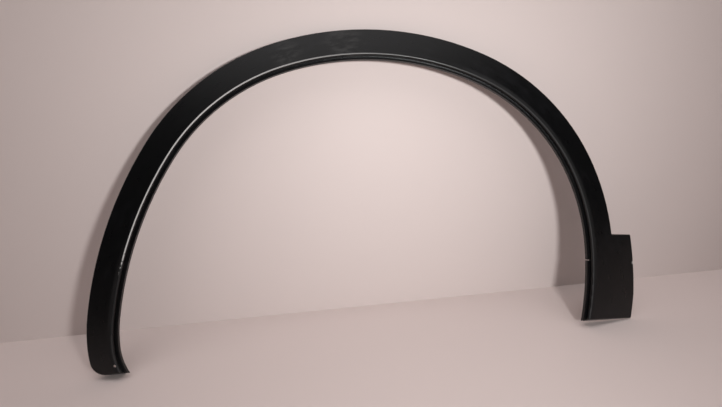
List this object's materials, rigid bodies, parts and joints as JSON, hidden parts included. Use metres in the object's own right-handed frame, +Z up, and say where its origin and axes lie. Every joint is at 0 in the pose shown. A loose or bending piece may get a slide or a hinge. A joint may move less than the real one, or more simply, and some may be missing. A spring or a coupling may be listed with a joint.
{
  "type": "wheel arch trim",
  "caption": "Black plastic wheel arch trim: a curved moulded band with a ridge and a return flange, a rounded toe on one leg and a flat end block on the other.",
  "frame": {"origin": "middle of the bottom of the trim's box, level with its feet", "axes": "+X along the car from the round toe to the end block, +Y inboard towards the car, +Z up"},
  "size_m": [0.9185, 0.024, 0.5221],
  "materials": {
    "black_plastic": "satin moulded black with a fine grain, scuffed along the ridge"
  },
  "bodies": {
    "root": {"arch_trim": "black_plastic"}
  },
  "joints": []
}
